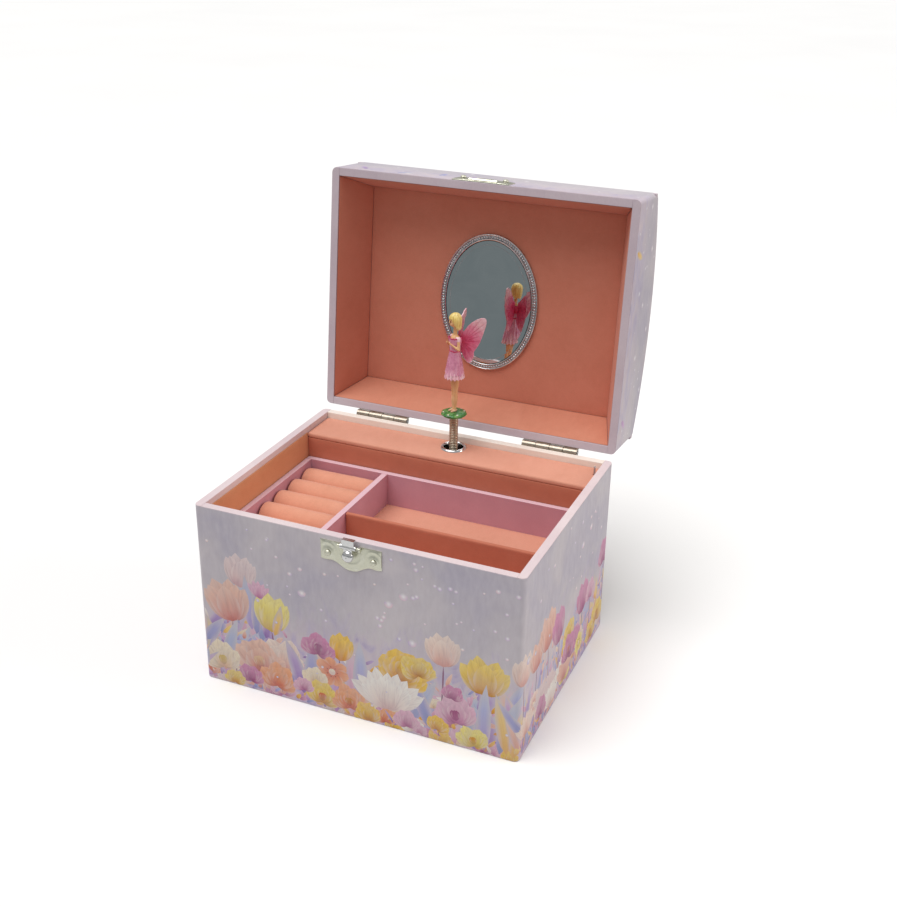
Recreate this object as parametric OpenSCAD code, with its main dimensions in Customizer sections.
// Musical jewellery box: a papered board case with a domed, hinged lid, a lift-out tray,
// a padded rear deck and a small winged figure on a spring, turned by a wind-up movement.
// Millimetres. +Z is up, -Y is the front, and the origin is the middle of the underside.
// The lid is drawn shut and then swung open; every other piece is drawn where it stands.

/* [Case] */
// Outside width of the case
box_w = 165; // [160:1:190]
// Outside depth of the case
box_d = 128; // [124:1:140]
// Height of the case without its lid
box_h = 96; // [94:1:110]
// Thickness of the wall boards
wall = 4; // [3:0.5:4.5]
// Radius of the case's upright corners
corner_r = 2.5; // [1:0.5:3]

/* [Lid] */
// Height of the lid's front and rear rails
lid_wall_h = 32; // [30:1:38]
// How much higher the dome is in the middle
lid_rise = 12; // [8:1:16]
// Thickness of the curved top sheet
lid_top_t = 3; // [2:0.5:4]
// Gap between the shut lid and the case
lid_gap = 0.3; // [0.2:0.1:0.8]
// How far the lid stands open, from shut
lid_open = 96; // [90:1:100]
// Depth of the flat lining panel above the lid's rim
lining_depth = 24.5; // [22:0.5:26]

/* [Hinges] */
// Length of each hinge
hinge_len = 30; // [24:1:36]
// Distance of each hinge from the middle
hinge_x = 48; // [40:1:55]
// Outside diameter of a hinge knuckle
knuckle_d = 4; // [3.6:0.1:4]
// Diameter of a hinge pin
hinge_pin_d = 1.5; // [1:0.1:1.8]

/* [Deck and tray] */
// How far the deck's top lies below the case's rim
deck_drop = 3; // [2:0.5:4]
// Depth of the deck, front to back
deck_depth = 23; // [22.5:0.5:24]
// How far the tray's top lies below the case's rim
tray_drop = 16.5; // [14:0.5:20]
// Height of the tray
tray_h = 19; // [17:1:22]
// Thickness of the tray's walls
tray_t = 3; // [2:0.5:3.5]
// Left face of the tray's partition, from the middle
partition_x = -32.5; // [-40:0.5:-20]
// Number of ring rolls
roll_count = 6; // [4:1:6]
// Spacing of the ring rolls
roll_pitch = 14.4; // [13.5:0.1:14.6]

/* [Catch] */
// Width of the catch plate and of the strike plate
catch_w = 30.5; // [28:0.5:34]
// Thickness of their sheet metal
catch_t = 0.9; // [0.6:0.1:1]

/* [Mirror] */
// Width of the oval mirror with its rim
mirror_w = 55; // [45:1:60]
// Height of the oval mirror with its rim
mirror_h = 73; // [60:1:80]

/* [Figure] */
// Distance of the figure's post from the case's back face
post_inset = 12; // [12:0.5:12]
// Height of the pad's underside above the case's rim
pad_base = 15.3; // [14:0.1:16]
// Diameter of the pad
pad_d = 13.6; // [11:0.2:14]
// Outside diameter of the figure's spring
spring_d = 4.6; // [4:0.1:5]
// Which way the figure faces, turned from the front
figure_turn = -35; // [-180:5:180]

/* [Movement] */
// Diameter of the pinned cylinder
drum_d = 13; // [12:0.5:13]
// Number of comb teeth
comb_teeth = 18; // [12:1:18]
// Width of the winding key
key_w = 24; // [18:1:28]

/* [Hidden] */
$fn = 48;
eps = 0.01;
bw = box_w / 2;                     // half the case's width
bd = box_d / 2;                     // half its depth
iw = bw - wall;                     // half the width inside
id = bd - wall;                     // half the depth inside
hinge_y = bd + 2.4;                 // the lid turns about this line
hinge_z = box_h;
rim = box_h + lid_gap;              // height of the shut lid's rim
sag_r = (bd * bd + lid_rise * lid_rise) / (2 * lid_rise);      // outer radius of the dome
dome_z = rim + lid_wall_h + lid_rise - sag_r;                  // height of its centre
dome_in = sag_r - lid_top_t;
lin_t = 0.6;                        // wall lining
deck_z = box_h - deck_drop;         // deck top
deck_y = id - deck_depth - 0.1;     // deck front
deck_t = 2.8;
tray_z = box_h - tray_drop;         // tray top
tray_b = tray_z - tray_h;           // tray underside
tray_x = iw - lin_t - 0.3;          // half the tray's width
tray_y0 = -id + lin_t + 0.4;        // tray front
tray_y1 = deck_y - 0.3;             // tray back
tray_f = tray_b + 1.5;              // top of the tray's floor
part_r = partition_x + tray_t;      // right face of the partition
post_y = bd - post_inset;           // the figure's axis
fold_z = box_h + 5;                 // the figure tips about this height
catch_z = box_h - 2.4;              // top edge of the catch plate, and the lever's axis
lever_y = -bd - 2.6;
// movement
drum_y = post_y - 2.5;
m1 = 0.45;                          // module of the spindle pair
n_drive = 16; n_spin = 24;
c1 = m1 * (n_drive + n_spin) / 2;
drum_x = -sqrt(c1 * c1 - 2.5 * 2.5);
a1 = atan2(2.5, -drum_x);           // from the cylinder to the spindle
n_wheel = 34; n_gpin = 10;
c2 = m1 * (n_wheel + n_gpin) / 2;
a2 = -10;                           // from the cylinder to the governor wheel
gov_x = drum_x + c2 * cos(a2);
gov_y = drum_y + c2 * sin(a2);
m3 = 0.4;
n_gov = 30; n_fan = 8;
c3 = m3 * (n_gov + n_fan) / 2;
fan_x = gov_x + c3;
n_crown = 40; n_pin = 8;
crown_r = 14;
pin_r = crown_r * n_pin / n_crown;  // pitch radius of the cylinder's pinion
crown_z = 26;                       // height of the great wheel's axis
crown_y = drum_y + pin_r;           // pitch plane of the face teeth
frame_y = id - 1.7;                 // front face of the movement's bedplate

// ---- shared shapes ----

// block with rounded upright corners, standing on z = 0
module round_block(w, d, h, r) {
    translate([-w / 2 + r, -d / 2, 0]) cube([w - 2 * r, d, h]);
    translate([-w / 2, -d / 2 + r, 0]) cube([w, d - 2 * r, h]);
    for (x = [-1, 1], y = [-1, 1])
        translate([x * (w / 2 - r), y * (d / 2 - r), 0]) cylinder(r = r, h = h);
}

module block(x0, x1, y0, y1, z0, z1)
    translate([x0, y0, z0]) cube([x1 - x0, y1 - y0, z1 - z0]);

module rod_x(x0, x1, y, z, r) translate([x0, y, z]) rotate([0, 90, 0]) cylinder(r = r, h = x1 - x0);
module rod_y(x, y0, y1, z, r) translate([x, y0, z]) rotate([-90, 0, 0]) cylinder(r = r, h = y1 - y0);

// everything on the lid is drawn shut, then swung open about the hinges
module swung() translate([0, hinge_y, hinge_z]) rotate([-lid_open, 0, 0]) translate([0, -hinge_y, -hinge_z]) children();

// spur gear outline: teeth thinner than their gaps, so that a pair runs with backlash
function gear_pts(m, n) = [for (i = [0 : n - 1], k = [0 : 3])
    let (a = 360 / n * i, rp = m * n / 2,
         ro = rp + 0.75 * m, ri = rp - 1.1 * m,
         half = [0.30, 0.13, -0.13, -0.30][k] * 360 / n,
         r = [ri, ro, ro, ri][k])
    [r * cos(a - half), r * sin(a - half)]];
module gear(m, n, h, bore = 0, turn = 0) rotate([0, 0, turn]) difference() {
    linear_extrude(h) polygon(gear_pts(m, n));
    if (bore > 0) translate([0, 0, -1]) cylinder(r = bore, h = h + 2, $fn = 32);
}

// ---- case ----

module case_floor() color("lightgray") block(-iw, iw, -id, id, 0, wall);
module case_front() color("thistle") block(-iw, iw, -bd, -id, 0, box_h);
module case_back() color("thistle") difference() {
    block(-iw, iw, id, bd, 0, box_h);
    rod_y(drum_x, id - 1, bd + 1, crown_z, 3.5);
}
module side_board(s) intersection() {
    round_block(box_w, box_d, box_h, corner_r);
    block(s > 0 ? iw : -bw - 1, s > 0 ? bw + 1 : -iw, -bd - 1, bd + 1, -1, box_h + 1);
}
module case_left() color("thistle") side_board(-1);
module case_right() color("thistle") side_board(1);

module wall_linings() color("salmon") {
    block(-iw, -iw + lin_t, -id + lin_t + 0.05, deck_y - 0.1, wall, deck_z);
    block(iw - lin_t, iw, -id + lin_t + 0.05, deck_y - 0.1, wall, deck_z);
    block(-iw, iw, -id, -id + lin_t, wall, deck_z);
}

module tray_bearers() color("burlywood") for (s = [-1, 1])
    translate([s * (iw - lin_t - 2), 0, 0]) block(-2, 2, tray_y0 + 1, tray_y1 - 1, tray_b - 5, tray_b);

module deck_board() color("salmon") difference() {
    block(-iw + 0.1, iw - 0.1, deck_y, id - 0.1, deck_z - deck_t, deck_z);
    translate([0, post_y, deck_z - deck_t - 1]) cylinder(r = 5.4, h = deck_t + 2);
    translate([iw - 1.9, post_y, deck_z - deck_t - 1]) cylinder(r = 0.9, h = deck_t + 2, $fn = 24);
}
module deck_front_board() color("indianred")
    block(-iw + 0.1, iw - 0.1, deck_y, deck_y + 2.5, wall, deck_z - deck_t);

module deck_eyelet() color("silver") translate([0, post_y, 0]) difference() {
    union() {
        translate([0, 0, deck_z]) rotate_extrude() polygon([[5.15, 0], [6.8, 0], [6.7, 0.5], [6.2, 0.95], [5.7, 1.05], [5.3, 0.85], [5.15, 0.4]]);
        translate([0, 0, deck_z - deck_t - 0.4]) cylinder(r = 5.35, h = deck_t + 0.4 + eps);
    }
    translate([0, 0, deck_z - deck_t - 1]) cylinder(r = 5.15, h = deck_t + 4);
}

// ---- tray ----

module tray_walls() color("plum") {
    block(-tray_x, tray_x, tray_y1 - tray_t, tray_y1, tray_b, tray_z);
    block(-tray_x, tray_x, tray_y0, tray_y0 + tray_t, tray_b, tray_z);
    for (s = [-1, 1]) translate([s * (tray_x - tray_t / 2), 0, 0])
        block(-tray_t / 2, tray_t / 2, tray_y0 + tray_t + 0.04, tray_y1 - tray_t - 0.04, tray_b, tray_z);
}
module tray_partition() color("plum")
    block(partition_x, part_r, tray_y0 + tray_t, tray_y1 - tray_t, tray_f, tray_z);
module tray_floor() color("lightsalmon")
    block(-tray_x + tray_t, tray_x - tray_t, tray_y0 + tray_t, tray_y1 - tray_t, tray_b, tray_f);
module tray_divider() color("salmon")
    block(part_r, tray_x - tray_t, -13.8, -11.6, tray_f, tray_z - 0.3);

module ring_rolls() color("lightsalmon") {
    r = roll_pitch / 2 - 0.08;
    crest = tray_z - 1.9;
    for (i = [0 : roll_count - 1]) {
        y = tray_y1 - tray_t - 0.3 - roll_pitch * (i + 0.5);
        intersection() {
            union() {
                rod_x(-tray_x + tray_t + 0.5, partition_x - 0.5, y, crest - r, r);
                block(-tray_x + tray_t + 0.5, partition_x - 0.5, y - r, y + r, tray_f, crest - r);
            }
            block(-tray_x, 0, y - r - 1, y + r + 1, tray_f, crest + 1);
        }
    }
}

// ---- hinges ----

kn = 4;                              // knuckles on each hinge, box and lid in turn
ks = hinge_len / kn;
module knuckles(first) for (i = [first : 2 : kn - 1])
    rod_x(-hinge_len / 2 + i * ks + 0.12, -hinge_len / 2 + (i + 1) * ks - 0.12, hinge_y, hinge_z, knuckle_d / 2);
module leaf(z0, z1, first) difference() {
    union() {
        block(-hinge_len / 2, hinge_len / 2, bd, bd + 0.8, z0, z1);
        knuckles(first);
        // web that carries the leaf into each of its own knuckles
        for (i = [first : 2 : kn - 1])
            block(-hinge_len / 2 + i * ks + 0.12, -hinge_len / 2 + (i + 1) * ks - 0.12, bd + 0.05, bd + 0.8,
                  first == 0 ? z1 - 0.1 : hinge_z, first == 0 ? hinge_z : z0 + 0.1);
    }
    // room for the other leaf's knuckles
    for (i = [1 - first : 2 : kn - 1])
        rod_x(-hinge_len / 2 + i * ks - 0.12, -hinge_len / 2 + (i + 1) * ks + 0.12, hinge_y, hinge_z, knuckle_d / 2 + 0.3);
    rod_x(-hinge_len / 2 - 1, hinge_len / 2 + 1, hinge_y, hinge_z, hinge_pin_d / 2 + 0.05);
    for (s = [-1, 1]) rod_y(s * (hinge_len / 2 - 5), bd - 1, bd + 2, first == 0 ? z0 + 3.6 : z1 - 3.6, 0.65);
}
module hinge_leaves_box() color("rosybrown") for (s = [-1, 1])
    translate([s * hinge_x, 0, 0]) leaf(box_h - 12, box_h - 1.2, 0);
module hinge_leaves_lid() color("rosybrown") swung() for (s = [-1, 1])
    translate([s * hinge_x, 0, 0]) leaf(box_h + 1.2, box_h + 12, 1);
module hinge_pins() color("silver") for (s = [-1, 1])
    rod_x(s * hinge_x - hinge_len / 2 - 0.3, s * hinge_x + hinge_len / 2 + 0.3, hinge_y, hinge_z, hinge_pin_d / 2);
module nail(l) {                     // stands out along -Y from y = 0, its shank runs to y = l
    rotate([-90, 0, 0]) cylinder(r = 0.6, h = l, $fn = 24);
    rotate([90, 0, 0]) rotate_extrude($fn = 32) polygon([[0, 0], [1.5, 0], [1.35, 0.4], [0.9, 0.75], [0.4, 0.9], [0, 0.93]]);
}
module hinge_nails_box() color("rosybrown") for (s = [-1, 1], t = [-1, 1])
    translate([s * hinge_x + t * (hinge_len / 2 - 5), bd + 0.8, box_h - 8.4]) rotate([0, 0, 180]) nail(4);
module hinge_nails_lid() color("rosybrown") swung() for (s = [-1, 1], t = [-1, 1])
    translate([s * hinge_x + t * (hinge_len / 2 - 5), bd + 0.8, box_h + 8.4]) rotate([0, 0, 180]) nail(4);

// ---- catch ----

// plate outline, its straight edge along the top and its lobe below
module plate_outline() {
    translate([-catch_w / 2, -9.8]) square([catch_w, 9.8]);
    intersection() {
        translate([0, -3.2]) circle(r = 10.2, $fn = 64);
        translate([-catch_w / 2, -14]) square([catch_w, 8]);
    }
}
module catch_plate() color("silver") difference() {
    translate([0, -bd, catch_z]) rotate([90, 0, 0]) union() {
        linear_extrude(catch_t) plate_outline();
        for (s = [-1, 1]) translate([s * 11.4, -6.1, 0]) cylinder(r1 = 3.2, r2 = 2.7, h = catch_t + 0.4);
        translate([0, -4.2, 0]) difference() {
            cylinder(r = 5.4, h = catch_t + 0.3);
            translate([0, 0, catch_t - 0.2]) cylinder(r = 4.7, h = 1);
        }
    }
    block(-4.4, 4.4, -bd - 3, -bd + 1, catch_z - 2.6, catch_z + 6);
    for (s = [-1, 1]) rod_y(s * 11.4, -bd - 3, -bd + 1, catch_z - 6.1, 0.65);
}
module catch_nails() color("silver") for (s = [-1, 1])
    translate([s * 11.4, -bd - catch_t - 0.4, catch_z - 6.1]) nail(4.5);
module catch_pin() color("silver") {
    rod_x(-5.6, 5.6, lever_y, catch_z, 0.5);
    // lugs that carry the pin, standing on the plate beside the notch
    for (s = [-1, 1]) translate([s * 5.1, 0, 0]) block(-0.5, 0.5, lever_y, -bd - catch_t, catch_z - 1.6, catch_z);
}
module catch_lever() color("gainsboro") difference() {
    union() {
        rod_x(-3.9, 3.9, lever_y, catch_z, 1.25);
        block(-3, 3, lever_y - 0.95, lever_y - 0.1, catch_z, catch_z + 3.6);          // hook arm
        block(-3, 3, lever_y - 0.95, -bd - catch_t - 0.35, catch_z + 3.0, catch_z + 3.7); // its nose
        block(-2, 2, lever_y - 1.0, lever_y - 0.2, catch_z - 4.5, catch_z);            // stem
        translate([0, lever_y - 0.2, catch_z - 4.3]) rotate([90, 0, 0]) cylinder(r = 2.75, h = 1.0);
        translate([0, lever_y - 1.2, catch_z - 4.3]) rotate([90, 0, 0]) rotate_extrude() polygon([[0, -eps], [2.75, -eps], [2.6, 0.5], [2.1, 0.95], [1.2, 1.3], [0, 1.42]]);
    }
    rod_x(-6, 6, lever_y, catch_z, 0.55);
}
module strike_plate() color("silver") swung() difference() {
    translate([0, -bd, rim + 0.3]) rotate([90, 0, 0]) mirror([0, 1, 0]) union() {
        linear_extrude(catch_t) plate_outline();
        for (s = [-1, 1]) translate([s * 11.4, -6.1, 0]) cylinder(r1 = 3.2, r2 = 2.7, h = catch_t + 0.4);
        translate([-7.5, -5, 0]) cube([15, 1.4, catch_t + 0.5]);
    }
    block(-6.5, 6.5, -bd - 3, -bd + 0.001, rim + 1.3, rim + 3.7);
    for (s = [-1, 1]) rod_y(s * 11.4, -bd - 3, -bd + 1, rim + 6.4, 0.65);
}
module strike_nails() color("silver") swung() for (s = [-1, 1])
    translate([s * 11.4, -bd - catch_t - 0.4, rim + 6.4]) nail(4.5);

// ---- lid ----

module under_dome(r) rod_x(-bw - 1, bw + 1, 0, dome_z, r);
module lid_top() color("thistle") swung() difference() {
    intersection() {
        rod_x(-bw, bw, 0, dome_z, sag_r);
        block(-bw - 1, bw + 1, -bd, bd, rim + lid_wall_h - lid_top_t - 1.5, rim + 100);
    }
    under_dome(dome_in);
}
module lid_rail(y0, y1) intersection() {
    block(-iw, iw, y0, y1, rim, rim + 100);
    under_dome(dome_in);
}
module lid_front_rail() color("thistle") swung() lid_rail(-bd, -id);
module lid_rear_rail() color("thistle") swung() lid_rail(id, bd);
module lid_end(s) intersection() {
    translate([0, 0, rim]) round_block(box_w, box_d, 100, corner_r);
    block(s > 0 ? iw : -bw - 1, s > 0 ? bw + 1 : -iw, -bd - 1, bd + 1, rim, rim + 100);
    under_dome(dome_in);
}
module lid_end_left() color("thistle") swung() lid_end(-1);
module lid_end_right() color("thistle") swung() lid_end(1);

pan_x = iw - 8.5;                    // half the flat panel's size
pan_y = id - 7.2;
pan_z = rim + lining_depth;
lip_z = rim + 0.5;
lb_t = 1.2;
module lid_lining_panel() color("salmon") swung() block(-pan_x, pan_x, -pan_y, pan_y, pan_z, pan_z + 1.5);
// sloped board: run outwards from the panel's edge to the rim
module slope_x(s) rotate([90, 0, 0]) linear_extrude(2 * (id - 7.5), center = true)
    polygon([[s * (pan_x + 0.2), pan_z], [s * (iw - 0.2), lip_z], [s * (iw - 0.2), lip_z + lb_t * 1.5], [s * (pan_x + 0.2), pan_z + lb_t * 1.2]]);
module slope_y(s) rotate([90, 0, 90]) linear_extrude(2 * (iw - 9), center = true)
    polygon([[s * (pan_y + 0.2), pan_z], [s * (id - 0.2), lip_z], [s * (id - 0.2), lip_z + lb_t * 1.5], [s * (pan_y + 0.2), pan_z + lb_t * 1.2]]);
module lid_lining_sides() color("indianred") swung() {
    for (s = [-1, 1]) { slope_x(s); slope_y(s); }
}

// oval outline, d inside the rim's outer edge
function oval(d) = [for (a = [0 : 3.75 : 359]) [(mirror_w / 2 - d) * cos(a), (mirror_h / 2 - d) * sin(a)]];
module oval_ring(z, h, d0, d1) translate([0, 0, z]) difference() {
    linear_extrude(h) polygon(oval(d0));
    translate([0, 0, -1]) linear_extrude(h + 2) polygon(oval(d1));
}
module mirror_rim() color("silver") swung() translate([0, 1, pan_z]) {
    oval_ring(-1.0, 1.0, 0, 3.4);
    oval_ring(-1.8, 0.81, 0.5, 3.4);
    oval_ring(-2.5, 0.71, 1.2, 2.8);
}
module mirror_glass() color("lightsteelblue") swung() translate([0, 1, pan_z - 1.6])
    linear_extrude(1.6) polygon(oval(3.5));

// ---- figure ----

// close-wound coil from the spindle's end up to the collar
wire_d = 0.85;
coil_z0 = box_h - 4.6;
coil_z1 = box_h + pad_base - 1.2;
coil_n = floor((coil_z1 - coil_z0) / (wire_d * 1.12));
coil_seg = 18;
coil_side = 6;
function coil_at(i) = let (a = 360 * i / coil_seg, r = (spring_d - wire_d) / 2)
    [r * cos(a), r * sin(a), coil_z0 + wire_d / 2 + (coil_z1 - coil_z0 - wire_d) * i / (coil_n * coil_seg)];
module figure_spring() color("gray") translate([0, post_y, 0]) {
    n = coil_n * coil_seg;
    pts = [for (i = [0 : n], k = [0 : coil_side - 1])
        let (c = coil_at(i), a = 360 * i / coil_seg, b = 360 * k / coil_side)
        c + wire_d / 2 * [cos(b) * cos(a), cos(b) * sin(a), sin(b)]];
    faces = concat(
        [[for (k = [0 : coil_side - 1]) k]],
        [for (i = [0 : n - 1], k = [0 : coil_side - 1]) let (j = (k + 1) % coil_side)
            [i * coil_side + k, (i + 1) * coil_side + k, (i + 1) * coil_side + j, i * coil_side + j]],
        [[for (k = [coil_side - 1 : -1 : 0]) n * coil_side + k]]);
    polyhedron(pts, faces, convexity = 12);
}
module spring_collar() color("darkkhaki") translate([0, post_y, box_h + pad_base - 1.2])
    cylinder(r1 = spring_d / 2 + 0.1, r2 = spring_d / 2 + 0.5, h = 0.9);

module posed() translate([0, post_y, box_h]) rotate([0, 0, figure_turn]) children();
fp = pad_base + 2.3;                 // top of the pad, where the figure stands
module figure_pad() color("mediumseagreen") posed() translate([0, 0, pad_base])
    rotate_extrude($fn = 64) polygon([[0, 0], [pad_d / 2 - 1.6, 0], [pad_d / 2 - 0.5, 0.4], [pad_d / 2, 1.15], [pad_d / 2 - 0.5, 1.9], [pad_d / 2 - 1.6, 2.3], [0, 2.3]]);
// a rounded limb between two points
module limb(a, b, ra, rb) hull() {
    translate(a) sphere(r = ra, $fn = 16);
    translate(b) sphere(r = rb, $fn = 16);
}
module figure_body() color("burlywood") posed() {
    for (s = [-1, 1]) {
        limb([s * 0.9, 0.2, fp + 0.85], [s * 1.3, 0, fp + 9.5], 0.85, 1.25);
        limb([s * 1.3, 0, fp + 9.4], [s * 1.5, 0.2, fp + 21], 1.25, 1.9);
        limb([s * 0.9, 0.3, fp + 0.75], [s * 1.3, -2.4, fp + 0.6], 0.75, 0.45);
        // upper arm, then the forearm folded towards the chest
        limb([s * 3.1, 0, fp + 40.6], [s * 4.3, -0.6, fp + 34.4], 1.0, 0.85);
        limb([s * 4.3, -0.6, fp + 34.4], [s * 1.2, -4.2, fp + 38.0], 0.85, 0.65);
    }
    translate([0, 0, fp + 20]) cylinder(r1 = 2.6, r2 = 2.2, h = 13.5, $fn = 32);
    translate([0, 0, fp + 33.4]) cylinder(r1 = 2.2, r2 = 2.9, h = 6, $fn = 32);
    translate([0, 0, fp + 39.3]) cylinder(r1 = 2.9, r2 = 1.3, h = 3, $fn = 32);
    translate([0, 0, fp + 41]) cylinder(r = 1.15, h = 5, $fn = 32);
    translate([0, -0.2, fp + 49.2]) sphere(r = 3.5, $fn = 32);
}
module figure_dress() color("pink") posed() translate([0, 0, fp]) difference() {
    rotate_extrude($fn = 64) polygon([[0, 19.4], [4.6, 17.7], [5.3, 17.6], [5.2, 18.6], [4.4, 24], [3.3, 30], [2.75, 33.2], [3.1, 36], [3.45, 39.6], [2.9, 41.2], [0, 41.4]]);
    translate([0, 0, 14]) cylinder(r1 = 4.2, r2 = 2.8, h = 8, $fn = 32);
}
module figure_hair() color("khaki") posed() difference() {
    translate([0, 0.35, fp + 49.9]) sphere(r = 4.0);
    translate([0, -0.2, fp + 49.2]) sphere(r = 3.5);
    translate([-6, -8, fp + 41]) cube([12, 6.6, 9.6]);
}
// wing outline from its root: a broad upper lobe that leans outwards, a notch, and a smaller lower lobe
wing_pts = [[0, -5], [1.2, -8.4], [2.8, -10.9], [4.4, -11.6], [5.6, -10.3], [6.5, -7.4], [6.6, -5.4], [8.3, -2.6], [9.8, 0.6],
    [11.4, 5.4], [12.6, 9.6], [12.8, 11.8], [12, 13], [10.4, 13], [7.4, 11.6], [4, 8.8], [1.4, 5.4], [0, 3.6]];
module figure_wings() color("hotpink") posed() for (s = [-1, 1])
    translate([s * 0.9, 3.1, fp + 38]) rotate([0, 0, s > 0 ? 45 : 135]) rotate([90, 0, 0])
        linear_extrude(0.8, center = true) polygon(wing_pts);

// ---- movement ----

module movement_frame() color("darkgoldenrod") difference() {
    union() {
        block(-46, 18, frame_y, id - 0.1, 14, 83);
        block(-20, 15, 43.5 + post_y - 52, frame_y + eps, 43, 44.4);
        block(-16, 15, 43.5 + post_y - 52, frame_y + eps, 70.4, 71.8);
        block(-5, 5, post_y - 5, frame_y + eps, 79.6, 81);
        for (p = [[-42, 72], [14, 72], [-42, 18]]) rod_y(p[0], frame_y - 3, frame_y + eps, p[1], 3);
    }
    translate([drum_x, drum_y, 42]) cylinder(r = 1.25, h = 31);
    translate([0, post_y, 69]) cylinder(r = 1.55, h = 14);
    translate([gov_x, gov_y, 42]) cylinder(r = 0.65, h = 31, $fn = 24);
    translate([fan_x, gov_y, 42]) cylinder(r = 0.65, h = 31, $fn = 24);
    rod_y(drum_x, frame_y - 1, id + 1, crown_z, 1.55);
    for (p = [[-42, 72], [14, 72], [-42, 18]]) rod_y(p[0], frame_y - 4, id + 1, p[1], 0.9);
}
module movement_screws() color("silver") for (p = [[-42, 72], [14, 72], [-42, 18]])
    translate([p[0], bd, p[1]]) rotate([90, 0, 0]) difference() {
        union() {
            cylinder(r = 1, h = 8);
            translate([0, 0, -1.4]) cylinder(r1 = 1.7, r2 = 2.2, h = 1.4);
        }
        translate([-0.3, -3, -2]) cube([0.6, 6, 1.1]);
        translate([-3, -0.3, -2]) cube([6, 0.6, 1.1]);
    }
comb_z0 = 46.2;
comb_p = 18 / comb_teeth;
module comb_block() color("gray") block(-45, -31, drum_y + 0.5, frame_y, comb_z0 - 1, comb_z0 + 19);
module music_comb() color("lightgray") difference() {
    union() {
        block(-45, -31, drum_y - 0.5, drum_y + 0.5, comb_z0 - 1, comb_z0 + 19);
        for (i = [0 : comb_teeth - 1])
            block(-31.1, drum_x - drum_d / 2 - 0.8, drum_y - 0.4, drum_y + 0.4, comb_z0 + i * comb_p + 0.15, comb_z0 + (i + 1) * comb_p - 0.15);
    }
    for (z = [2, 8.5, 15]) rod_y(-40, drum_y - 2, drum_y + 2, comb_z0 + z, 1.05);
}
module comb_screws() color("silver") for (z = [2, 8.5, 15]) {
    rod_y(-40, drum_y - 0.6, drum_y + 5, comb_z0 + z, 1);
    difference() {
        rod_y(-40, drum_y - 1.7, drum_y - 0.5, comb_z0 + z, 1.9);
        block(-43, -37, drum_y - 2, drum_y - 1.2, comb_z0 + z - 0.3, comb_z0 + z + 0.3);
    }
}
module music_cylinder() color("gold") translate([drum_x, drum_y, 0]) difference() {
    union() {
        translate([0, 0, 45.6]) cylinder(r = drum_d / 2, h = 19.2, $fn = 64);
        // three pins on each track, spread round the drum by a step that shares no factor with the turn
        for (i = [0 : comb_teeth - 1], k = [0 : 2])
            rotate([0, 0, 17 + i * 67 + k * 119 + (k * i % 3) * 11])
                translate([drum_d / 2 - 0.4, 0, comb_z0 + (i + 0.5) * comb_p]) rotate([0, 90, 0]) cylinder(r = 0.25, h = 0.8, $fn = 16);
    }
    translate([0, 0, 40]) cylinder(r = 1.2, h = 30);
}
module cylinder_arbor() color("silver") translate([drum_x, drum_y, 0]) {
    translate([0, 0, 38.3]) cylinder(r = 1.2, h = 39.5);
    translate([0, 0, 38.5]) linear_extrude(3.2) polygon([for (i = [0 : n_pin - 1], k = [0 : 3])
        let (a = 90 + 360 / n_pin * (i + 0.5), half = [0.24, 0.12, -0.12, -0.24][k] * 360 / n_pin,
             r = [pin_r - 0.95, pin_r + 0.5, pin_r + 0.5, pin_r - 0.95][k])
        [r * cos(a - half), r * sin(a - half)]]);
}
module cylinder_wheel() color("gold") translate([drum_x, drum_y, 65.4]) gear(m1, n_wheel, 2, 1.2, a2);
module drive_gear() color("gold") translate([drum_x, drum_y, 74]) gear(m1, n_drive, 3, 1.2, a1);

module great_wheel() color("gold") translate([drum_x, 0, crown_z]) difference() {
    union() {
        rod_y(0, crown_y + 0.9, crown_y + 2.3, 0, crown_r + 1);
        for (i = [0 : n_crown - 1]) rotate([0, 360 / n_crown * i, 0])
            translate([0, 0, crown_r - 1.1]) linear_extrude(2.0)
                polygon([[-0.46, crown_y + 1.0], [-0.3, crown_y - 0.6], [0.3, crown_y - 0.6], [0.46, crown_y + 1.0]]);
    }
    rod_y(0, crown_y - 2, crown_y + 4, 0, 1.6);
}
module spring_barrel() color("goldenrod") translate([drum_x, 0, crown_z]) difference() {
    rod_y(0, 42.4 + post_y - 52, crown_y + 0.9, 0, 11.4);
    rod_y(0, 43.4 + post_y - 52, crown_y + 2, 0, 10.6);
    rod_y(0, 40, 60, 0, 1.6);
}
spiral_n = 150;
spiral_t = 0.35;
module mainspring() color("dimgray") translate([drum_x, 0, crown_z]) rotate([90, 0, 0]) translate([0, 0, -(crown_y + 0.5)])
    linear_extrude(crown_y - 0.5 - (43.4 + post_y - 52)) polygon(concat(
        [for (i = [0 : spiral_n]) let (a = 360 * 5 * i / spiral_n, r = 3 + 7.2 * i / spiral_n) [r * cos(a), r * sin(a)]],
        [for (i = [spiral_n : -1 : 0]) let (a = 360 * 5 * i / spiral_n, r = 3 - spiral_t + 7.2 * i / spiral_n) [r * cos(a), r * sin(a)]]));
module winding_arbor() color("silver") rod_y(drum_x, 41.6 + post_y - 52, bd + 16, crown_z, 1.5);
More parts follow.
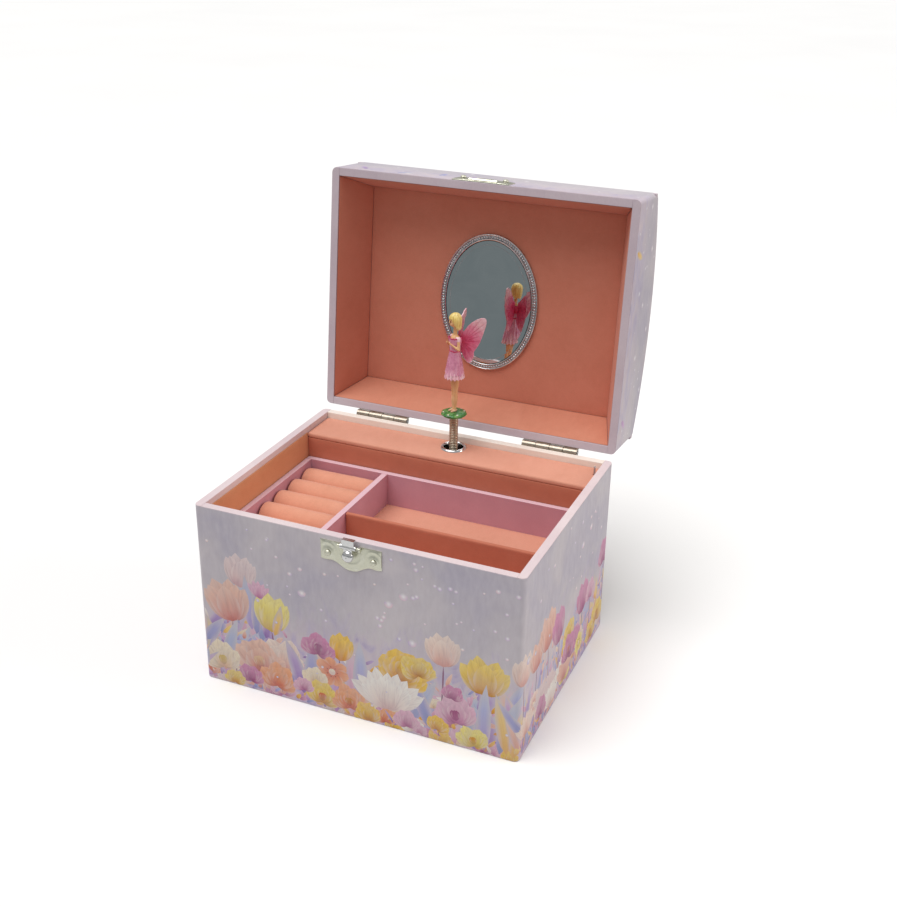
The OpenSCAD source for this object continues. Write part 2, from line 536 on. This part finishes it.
module winding_key() color("silver") translate([drum_x, bd, crown_z]) {
    difference() {
        union() {
            rod_y(0, 2, 12, 0, 3.1);
            rod_y(0, 10.5, 16.5, 0, 2.6);
            // two flat thumb lobes joined by a neck
            rotate([0, 20, 0]) {
                for (s = [-1, 1]) translate([s * (key_w / 2 - 6), 16.5, 0]) rotate([0, 0, 0]) translate([0, 0, -0.8]) cylinder(r = 6, h = 1.6);
                block(-key_w / 2 + 6, key_w / 2 - 6, 11.5, 17.5, -0.8, 0.8);
            }
        }
        rod_y(0, -1, 16.01, 0, 1.5);
        rotate([0, 20, 0]) for (s = [-1, 1]) translate([s * (key_w / 2 - 6), 16.5, -2]) cylinder(r = 2.4, h = 4);
    }
}
module governor_wheel() color("gold") translate([gov_x, gov_y, 0]) {
    translate([0, 0, 43.6]) cylinder(r = 0.6, h = 28, $fn = 24);
    translate([0, 0, 65.2]) gear(m1, n_gpin, 2.4, 0, a2 + 180 + 180 / n_gpin);
    translate([0, 0, 67.5]) cylinder(r = 1.4, h = 0.8, $fn = 24);
    translate([0, 0, 68.2]) gear(m3, n_gov, 1, 0, 0);
}
module governor_fan() color("silver") translate([fan_x, gov_y, 0]) {
    translate([0, 0, 43.6]) cylinder(r = 0.6, h = 28, $fn = 24);
    translate([0, 0, 67.9]) gear(m3, n_fan, 1.6, 0, 180 + 180 / n_fan);
    rotate([0, 0, 35]) block(-5, 5, -0.2, 0.2, 50, 63);
}
module spindle() color("silver") translate([0, post_y, 0]) {
    translate([0, 0, 70.2]) cylinder(r = 1.5, h = box_h - 4.6 - 70.2);
    translate([0, 0, 74.2]) gear(m1, n_spin, 2.6, 0, a1 + 180 + 180 / n_spin);
    translate([0, 0, box_h - 7]) cylinder(r = 2.2, h = 2.4);
}
module stop_wire() color("silver") {
    x = iw - 1.9;
    zt = deck_z + 4;
    translate([x, post_y, 67]) cylinder(r = 0.5, h = zt - 67, $fn = 24);
    translate([x, post_y, zt]) sphere(r = 0.5, $fn = 24);
    translate([x, post_y, 67]) sphere(r = 0.5, $fn = 24);
    rod_x(11.5, x, post_y, 67, 0.5);
    translate([11.5, post_y, 67]) sphere(r = 0.5, $fn = 24);
    rod_y(11.5, gov_y - 0.6, post_y, 67, 0.5);
}

// ---- parts ----

case_floor();
case_front();
case_back();
case_left();
case_right();
wall_linings();
tray_bearers();
deck_board();
deck_front_board();
deck_eyelet();
tray_walls();
tray_partition();
tray_floor();
tray_divider();
ring_rolls();
hinge_leaves_box();
hinge_leaves_lid();
hinge_pins();
hinge_nails_box();
hinge_nails_lid();
catch_plate();
catch_nails();
catch_lever();
catch_pin();
strike_plate();
strike_nails();
lid_top();
lid_front_rail();
lid_rear_rail();
lid_end_left();
lid_end_right();
lid_lining_panel();
lid_lining_sides();
mirror_rim();
mirror_glass();
figure_spring();
spring_collar();
figure_pad();
figure_body();
figure_dress();
figure_hair();
figure_wings();
movement_frame();
movement_screws();
comb_block();
music_comb();
comb_screws();
music_cylinder();
cylinder_arbor();
cylinder_wheel();
drive_gear();
great_wheel();
spring_barrel();
mainspring();
winding_arbor();
winding_key();
governor_wheel();
governor_fan();
spindle();
stop_wire();
